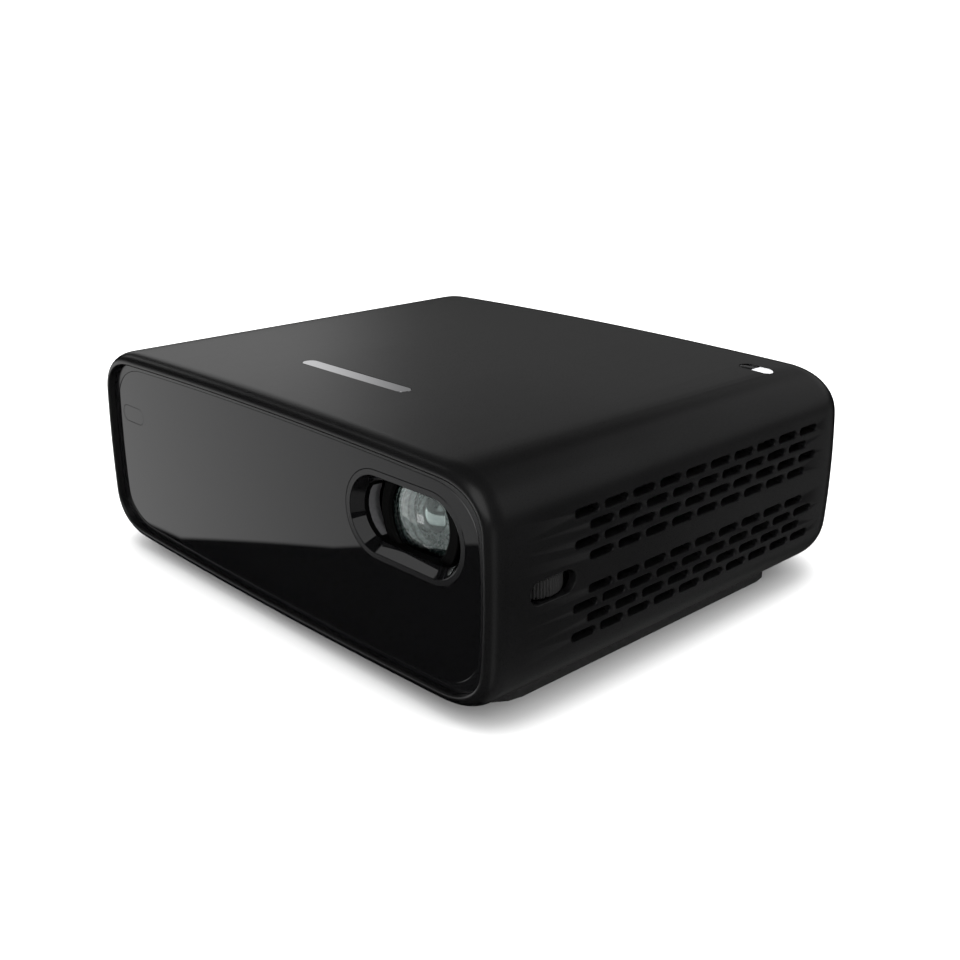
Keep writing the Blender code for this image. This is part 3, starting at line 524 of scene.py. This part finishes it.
def outer_sleeve():
    """Casing with its rear window, wheel slot, key and badge holes, tripod hole and vents."""
    obj = mesh_object("outer_sleeve_skin", loft(sleeve_sections(), "y"))
    window = []
    for depth, grow in ((6, 0.0), (0.4, 0.0), (0.1, 0.12), (-0.02, 0.4), (-2, 0.4)):
        outline = rounded_rect(0, MID_Z, REAR_HALF_W + grow, REAR_HALF_H + grow, REAR_CORNER + grow)
        window.append((outline, REAR - depth))
    slot = []
    face = skin_x(0)
    for place, grow in ((52, 0.0), (face - 0.3, 0.0), (face - 0.1, 0.08), (face + 0.03, 0.3), (60, 0.3)):
        slot.append((stadium(WHEEL_Y, MID_Z, WHEEL_SLOT_HALF_L + grow, WHEEL_SLOT_HALF_H + grow, 12), place))
    key_gap, badge_gap, badge_floor = 0.12, 0.06, 19.4
    key = stadium(KEY_X, KEY_Y, KEY_HALF_L + key_gap, KEY_HALF_W + key_gap, 12)
    (badge_x, badge_y), (badge_l, badge_w) = middle_and_half("top_badge", 0, 1)
    badge = stadium(badge_x, badge_y, badge_l + badge_gap, badge_w + badge_gap, 12)
    tripod = middle_and_half("tripod_insert", 0, 1)[0]
    cut(obj, loft(window, "y"), loft(slot, "x"),
        prism(key, "z", MID_Z + 10, MID_Z + 30),
        prism(badge, "z", MID_Z + badge_floor, MID_Z + 30),
        turned([(TRIPOD_HOLE, -1), (TRIPOD_HOLE, 8)], "z", tripod, 48))
    relief = stadium(WHEEL_Y, MID_Z, WHEEL_RELIEF_HALF_L, WHEEL_RELIEF_HALF_H)
    cut(obj, prism(relief, "x", 50, 56))
    cut(obj, *vent_cutters(1))
    cut(obj, *vent_cutters(-1))
    finish_piece(obj, MATERIALS["soft"], replaces=("outer_sleeve",), angle=28)


# ---- front ------------------------------------------------------------------
def front_bezel():
    """Satin ring flush with the glossy panel, and the carrier plate behind the panel."""
    rim_in, seam, edge = WALL + 0.03, 0.03, 0.05
    face = PANEL_FACE - 0.03
    seam_x, seam_z = PANEL_INSET_X - seam, PANEL_INSET_Z - seam
    back = mm_box("front_frame")[1][1]
    sections = [(body_outline(rim_in + 0.24), back), (body_outline(rim_in + 0.24), face + 2.0),
                (body_outline(rim_in), face + 1.6), (body_outline(rim_in), face + edge),
                (body_outline(rim_in + edge), face),
                (body_outline(seam_x - edge, seam_z - edge, PANEL_CORNER), face),
                (body_outline(seam_x, seam_z, PANEL_CORNER), face + edge),
                (body_outline(seam_x, seam_z, PANEL_CORNER), PANEL_FACE + 1.3)]
    obj = mesh_object("front_bezel", loft(sections, "y"))
    ledge = 0.7                 # of the lens opening that the carrier covers
    cut(obj, prism(stadium(LENS_X, LENS_Z, RING_HALF_W - ledge, RING_HALF_H - ledge), "y", -47, -40),
        prism(stadium(IR_X, IR_Z, 3.5, 1.25), "y", -47, -40))
    finish_piece(obj, MATERIALS["satin"], replaces=("front_frame",), angle=20)


def front_panel():
    """Glossy window with a fine polished chamfer round its edge and its two openings."""
    sections = []
    chamfer = ((0.12, 0.0), (0.06, 0.0), (0.01, 0.015), (0.0, 0.03), (0.0, PANEL_HI[1] - PANEL_FACE))
    for inset, depth in chamfer:
        sections.append((body_outline(PANEL_INSET_X + inset, PANEL_INSET_Z + inset, PANEL_CORNER),
                         PANEL_FACE + depth))
    obj = mesh_object("front_glass_panel", loft(sections, "y"))
    lens_gap, ir_gap, ir_edge = 0.1, 0.05, 0.05
    lens_hole = stadium(LENS_X, LENS_Z, RING_HALF_W + lens_gap, RING_HALF_H + lens_gap, 24)
    ir_hole = stadium(IR_X, IR_Z, IR_HALF_L + ir_gap, IR_HALF_H + ir_gap, 16)
    cut(obj, prism(lens_hole, "y", -49, -45), prism(ir_hole, "y", -49, -45))
    finish_piece(obj, MATERIALS["piano"], replaces=("front_panel",), angle=30)
    full = stadium(IR_X, IR_Z, IR_HALF_L, IR_HALF_H, 16)
    window = [(stadium(IR_X, IR_Z, IR_HALF_L - ir_edge, IR_HALF_H - ir_edge, 16), PANEL_FACE + 0.02),
              (full, PANEL_FACE + 0.07), (full, mm_box("ir_window")[1][1])]
    piece("ir_window_pill", loft(window, "y"), MATERIALS["piano"], replaces=("ir_window",),
          angle=12)


def ring_loft(profile, steps=32):
    """Closed ring round the lens opening from (inset, place) pairs."""
    return loft([(stadium(LENS_X, LENS_Z, RING_HALF_W - inset, RING_HALF_H - inset, steps), place)
                 for inset, place in profile], "y", closed=True)


def lens_surround():
    """Satin rim, polished chamfer, and the tunnel down to the lens."""
    edge, rim_w, wall_in = 0.05, 1.0, 2.36
    top, foot = PANEL_FACE, PANEL_FACE + 2.0
    start = foot + 0.12         # of the tunnel, just behind the chamfer
    rim = [(0.0, top + 0.9), (0.0, top + edge), (edge, top), (rim_w - edge, top), (rim_w, top + edge / 2),
           (rim_w, top + 0.9)]
    piece("lens_rim", ring_loft(rim), MATERIALS["satin"], angle=20)
    cone = [(rim_w, top + 0.04), (1.04, top + 0.06), (2.26, foot - 0.06), (2.3, foot), (2.3, start),
            (rim_w, start)]
    piece("lens_surround_cone", ring_loft(cone), MATERIALS["piano"], replaces=("lens_surround",),
          angle=20)
    # painted reflection: a light grey band on the tunnel's left end stands where the wall would show a lit
    # crescent
    painted_from, painted_to = foot + 0.9, foot + 3.1
    tunnel = [(wall_in, start), (wall_in, painted_from), (wall_in, painted_to), (wall_in, RING_BACK),
              (1.2, RING_BACK), (1.2, start)]
    obj = piece("lens_tunnel", ring_loft(tunnel), MATERIALS["inner"], angle=20)
    # the left-end faces inside the band get the painted reflection
    obj.data.materials.append(MATERIALS["tunnel_painted_crescent"])
    end_x, half_h = LENS_X - (RING_HALF_W - RING_HALF_H), RING_HALF_H - wall_in
    for face in obj.data.polygons:
        place = face.center / MM
        height = (place.z - LENS_Z) / half_h
        if place.x < end_x and painted_from < place.y < painted_to and -0.93 < height < 0.66:
            face.material_index = 1


def dome(radius, edge, apex, rings=14):
    """Profile of a lens face from its middle out to its edge."""
    return [(max(radius * i / rings, 0.01), edge + (apex - edge) * (1 - (i / rings) ** 2))
            for i in range(rings + 1)]


NOSE = 1.6                      # how far the retainer stands in front of the focus sleeve


def lens_optics():
    """Domed front glass in its black retainer, the stepped cell behind it and a small inner glass."""
    centre = (LENS_X, LENS_Z)
    sleeve = mm_box("focus_sleeve")[0][1]
    front = sleeve - NOSE
    clear = 6.85                # radius that the retainer leaves open
    retainer = [(9.1, sleeve + 0.3), (9.1, front + 0.12), (8.98, front), (clear + 0.5, front),
                (clear, front + 0.3), (clear, front + 0.7), (8.3, front + 0.7), (8.3, sleeve + 0.3)]
    piece("lens_retaining_ring", turned(retainer, "y", centre, 96, closed=True), MATERIALS["inner"],
          body="focus_group", angle=25)
    edge, apex, thick = front + 0.75, mm_box("front_lens")[0][1] - NOSE, 0.9
    face = dome(clear + 0.3, edge, apex)
    rear = dome(clear + 0.3, edge + 0.6, apex + thick)
    piece("front_lens_glass", turned(face + rear[::-1], "y", centre, 96), MATERIALS["glass"],
          body="focus_group", replaces=("front_lens",), angle=50)

    steps = ((7.1, 1.45), (6.5, 1.6), (6.5, 2.0), (5.95, 2.15), (5.95, 2.5), (5.3, 2.65), (5.3, 3.0),
             (4.6, 3.15), (4.6, 3.5), (3.9, 3.55), (3.9, 3.2), (3.2, 3.0), (2.75, 3.2))
    cell = [(r, front + place) for r, place in steps]
    cell += [(2.75, front + 4.3), (7.1, front + 4.3)]
    piece("lens_cell", turned(cell, "y", centre, 96, closed=True), MATERIALS["cell"],
          body="focus_group", angle=20)
    inner = dome(2.7, front + 3.1, front + 2.0) + [(2.7, front + 4.2), (0.01, front + 4.2)]
    piece("inner_lens_glass", turned(inner, "y", centre, 64), MATERIALS["coated"],
          body="focus_group", angle=50)


# ---- focus wheel ------------------------------------------------------------
def focus_wheel():
    """Knurled rim with bevelled edges."""
    ridges, steps, deep, bevel = 64, 6, 0.28, 0.3
    low = mm_box("focus_wheel")[0][2]
    high = low + 3.2

    def knurl(shrink):
        loop = []
        for i in range(ridges * steps):
            a = 2 * math.pi * i / (ridges * steps)
            wave = abs(math.sin(ridges * a / 2)) ** 0.8
            r = WHEEL_RADIUS - shrink - deep * (1 - wave)
            loop.append((WHEEL_X + r * math.cos(a), WHEEL_Y + r * math.sin(a)))
        return loop

    sections = [(knurl(bevel), low), (knurl(0.0), low + bevel), (knurl(0.0), high - bevel),
                (knurl(bevel), high)]
    piece("focus_wheel_knurl", loft(sections, "z"), MATERIALS["moulded"], body="focus_wheel",
          replaces=("focus_wheel",), angle=40)


# ---- top --------------------------------------------------------------------
def top_badge():
    """Plain bar with a bevelled edge."""
    bevel = 0.08
    (cx, cy), (half_l, half_w) = middle_and_half("top_badge", 0, 1)
    lo, hi = mm_box("top_badge")
    full = stadium(cx, cy, half_l, half_w, 16)
    sections = [(full, lo[2]), (full, hi[2] - bevel),
                (stadium(cx, cy, half_l - bevel, half_w - bevel, 16), hi[2])]
    piece("top_badge_inlay", loft(sections, "z"), MATERIALS["silver"], replaces=("top_badge",))


def power_key_cap():
    """Key that follows the curve of the top; its inner half is black, its outer half painted light grey as a
    painted reflection.
    """
    bm = bmesh.new()
    loops = []
    for shrink, drop in ((0.0, 2.9), (0.0, 0.12), (0.05, 0.04), (0.14, 0.0)):
        outline = stadium(KEY_X, KEY_Y, KEY_HALF_L - shrink, KEY_HALF_W - shrink, 16)
        loops.append([bm.verts.new((x, y, MID_Z + skin_z(x) - drop)) for x, y in outline])
    for low, high in zip(loops, loops[1:]):
        for i in range(len(low)):
            j = (i + 1) % len(low)
            bm.faces.new((low[i], low[j], high[j], high[i]))
    bm.faces.new(loops[0])
    bm.faces.new(loops[-1])
    bmesh.ops.bisect_plane(bm, geom=bm.faces[:] + bm.edges[:] + bm.verts[:],
                           plane_co=(KEY_X, 0, 0), plane_no=(1, 0, 0))
    bmesh.ops.recalc_face_normals(bm, faces=bm.faces)
    obj = piece("power_key_cap", bm, MATERIALS["piano"], body="power_key", replaces=("power_key",))
    # the outer half is painted light grey: a painted reflection of the bright surroundings
    obj.data.materials.append(MATERIALS["key_painted_reflection"])
    for face in obj.data.polygons:
        if face.center.x > KEY_X * MM:
            face.material_index = 1


# ---- studio -----------------------------------------------------------------
class Glow:
    """Emission of the surroundings by direction, put together from soft-edged cards.

    Azimuth runs from the left (-X) towards the front (-Y), elevation up from the table, in degrees.
    """

    def __init__(self, name):
        self.material = bpy.data.materials.new(name)
        self.material.use_nodes = True
        self.nodes = self.material.node_tree.nodes
        self.links = self.material.node_tree.links
        self.nodes.clear()
        where = self.nodes.new("ShaderNodeTexCoord")
        unit = self.nodes.new("ShaderNodeVectorMath")
        unit.operation = "NORMALIZE"
        axes = self.nodes.new("ShaderNodeSeparateXYZ")
        self.links.new(where.outputs["Object"], unit.inputs[0])
        self.links.new(unit.outputs["Vector"], axes.inputs[0])
        x, y, z = axes.outputs
        left, front = self.math("MULTIPLY", x, -1.0), self.math("MULTIPLY", y, -1.0)
        self.azimuth = self.math("DEGREES", self.math("ARCTAN2", front, left))
        self.elevation = self.math("DEGREES", self.math("ARCSINE", z))
        self.total = None

    def math(self, operation, a, b=None):
        node = self.nodes.new("ShaderNodeMath")
        node.operation = operation
        for socket, value in zip(node.inputs, (a, b)):
            if isinstance(value, (int, float)):
                socket.default_value = value
            elif value is not None:
                self.links.new(value, socket)
        return node.outputs[0]

    def ramp(self, value, start, end, low=0.0, high=1.0, shape="SMOOTHSTEP"):
        node = self.nodes.new("ShaderNodeMapRange")
        node.interpolation_type = shape
        for socket, number in zip(("From Min", "From Max", "To Min", "To Max"), (start, end, low, high)):
            node.inputs[socket].default_value = number
        self.links.new(value, node.inputs["Value"])
        return node.outputs["Result"]

    def window(self, value, low, high, soft_low, soft_high):
        rise = self.ramp(value, low - soft_low, low + soft_low)
        fall = self.ramp(value, high - soft_high, high + soft_high, 1.0, 0.0)
        return self.math("MULTIPLY", rise, fall)

    def card(self, azimuths, elevations, strength, soft_azimuth=(2, 2), soft_elevation=(2, 2)):
        """strength is a number or a socket; softness is in degrees either side of each edge."""
        across = self.window(self.azimuth, *azimuths, *soft_azimuth)
        upright = self.window(self.elevation, *elevations, *soft_elevation)
        self.add(self.math("MULTIPLY", self.math("MULTIPLY", across, upright), strength))

    def add(self, value):
        self.total = value if self.total is None else self.math("MAXIMUM", self.total, value)

    def finish(self):
        emission = self.nodes.new("ShaderNodeEmission")
        self.links.new(self.total, emission.inputs["Strength"])
        out = self.nodes.new("ShaderNodeOutputMaterial")
        self.links.new(emission.outputs[0], out.inputs["Surface"])
        return self.material


def surroundings():
    """What the glossy pieces mirror: lit walls round a dark ceiling, above a low horizon."""
    glow = Glow("studio_glow")
    # wide light to the front left, mirrored by the front panel; its lower edge rises to the left
    fade = glow.ramp(glow.azimuth, 26.0, 46.0, 1.02, 0.50, "LINEAR")
    beyond = glow.ramp(glow.azimuth, 10.0, 27.0, 1.2, 1.0, "LINEAR")
    near = glow.math("MULTIPLY", fade, beyond)
    slope = glow.ramp(glow.azimuth, 26.0, 36.4, 1.29, 0.0, "LINEAR")
    steep = glow.ramp(glow.azimuth, 26.6, 28.9, 0.98, 0.0, "LINEAR")
    height = glow.math("SUBTRACT", glow.math("SUBTRACT", glow.elevation, slope), steep)
    above = glow.window(height, -22.4, 3.0, 0.12, 6.0)
    across = glow.window(glow.azimuth, 4.0, 66.0, 4.0, 10.0)
    glow.add(glow.math("MULTIPLY", glow.math("MULTIPLY", above, across), near))
    # light wall round the left rear, weaker behind and to the right rear
    rear = glow.ramp(glow.azimuth, -41.0, -34.0, 0.2, 0.68)
    glow.card((-150, -18), (7, 30), rear, (12, 3), (3, 8))
    # high light on the left and another at the front right, with a dark gap between them
    glow.card((6, 14), (39, 50), 0.8, (2, 2), (2, 3))
    glow.card((-6, 1), (18, 32), 1.0, (2, 2), (3, 3))
    glow.card((82, 150), (14, 74), 0.95, (2, 3), (1, 3))
    # small bright light that shows as a square in the lens
    glow.card((47, 58), (-20, -12), 3.6, (0.5, 0.5), (0.5, 0.5))
    # table light seen from the right
    glow.card((147, 172), (-60, 0), 0.24, (4, 4), (10, 1))
    glow.card((-170, -60), (-80, -34), 0.1, (12, 10), (8, 8))
    glow.card((-150, -74), (8, 46), 0.26, (10, 8), (6, 8))
    glow.card((-125, -100), (-40, 0), 0.16, (8, 10), (8, 6))
    return glow.finish()


SKY_RADIUS = 30000              # far enough that every piece sees each light in one direction


def studio():
    """White table and room that light the object, and a sphere that only reflections see."""
    world = bpy.data.worlds.new("studio_world")
    bpy.context.scene.world = world
    world.use_nodes = True
    background = world.node_tree.nodes["Background"]
    background.inputs["Color"].default_value = (1, 1, 1, 1)
    background.inputs["Strength"].default_value = 2.1
    world.cycles_visibility.glossy = False

    bm = bmesh.new()
    bmesh.ops.create_grid(bm, x_segments=1, y_segments=1, size=4000)
    floor = mesh_object("studio_floor", bm)
    floor.data.materials.append(table_white())
    floor.visible_glossy = False

    bm = bmesh.new()
    bmesh.ops.create_icosphere(bm, subdivisions=4, radius=SKY_RADIUS)
    sphere = mesh_object("studio_sphere", bm)
    sphere.data.materials.append(surroundings())
    sphere.visible_camera = False
    sphere.visible_diffuse = False
    sphere.visible_shadow = False


def table_white():
    """White table; its colour is darkened where something stands close above it, a painted contact shadow.
    """
    s = Shader("studio_white", (0.92, 0.92, 0.92), 1.0, Specular_IOR_Level=0.0)
    # painted contact shadow: ambient occlusion darkens the base colour
    near = s.nodes.new("ShaderNodeAmbientOcclusion")
    near.inputs["Distance"].default_value = 8 * MM
    near.samples = 16
    painted_shadow_colour = s.spread(near.outputs["AO"], 0.60, 0.95, 0.45, 0.92)
    s.links.new(painted_shadow_colour, s.principled.inputs["Base Color"])
    return s.material


def camera():
    """Stands to the front right, a little above; the angles are its azimuth, elevation and roll."""
    azimuth, elevation, roll = math.radians(46.262), math.radians(19.416), math.radians(0.198)
    back = Vector((math.sin(azimuth) * math.cos(elevation), -math.cos(azimuth) * math.cos(elevation),
                   math.sin(elevation)))
    data = bpy.data.cameras.new("camera")
    data.lens, data.sensor_width = 45.477, 36.0
    data.clip_start, data.clip_end = 0.01, 50.0
    obj = bpy.data.objects.new("camera", data)
    turn = (-back).to_track_quat("-Z", "Y").to_matrix().to_4x4() @ Matrix.Rotation(roll, 4, "Z")
    obj.matrix_world = Matrix.Translation(Vector((170.21, -159.57, 97.80)) * MM) @ turn
    bpy.context.scene.collection.objects.link(obj)
    bpy.context.scene.camera = obj


def main():
    camera()
    studio()
    dress_cad_nodes()
    outer_sleeve()
    front_bezel()
    front_panel()
    lens_surround()
    lens_optics()
    focus_wheel()
    top_badge()
    power_key_cap()
    bpy.context.scene.view_settings.view_transform = "Standard"


main()
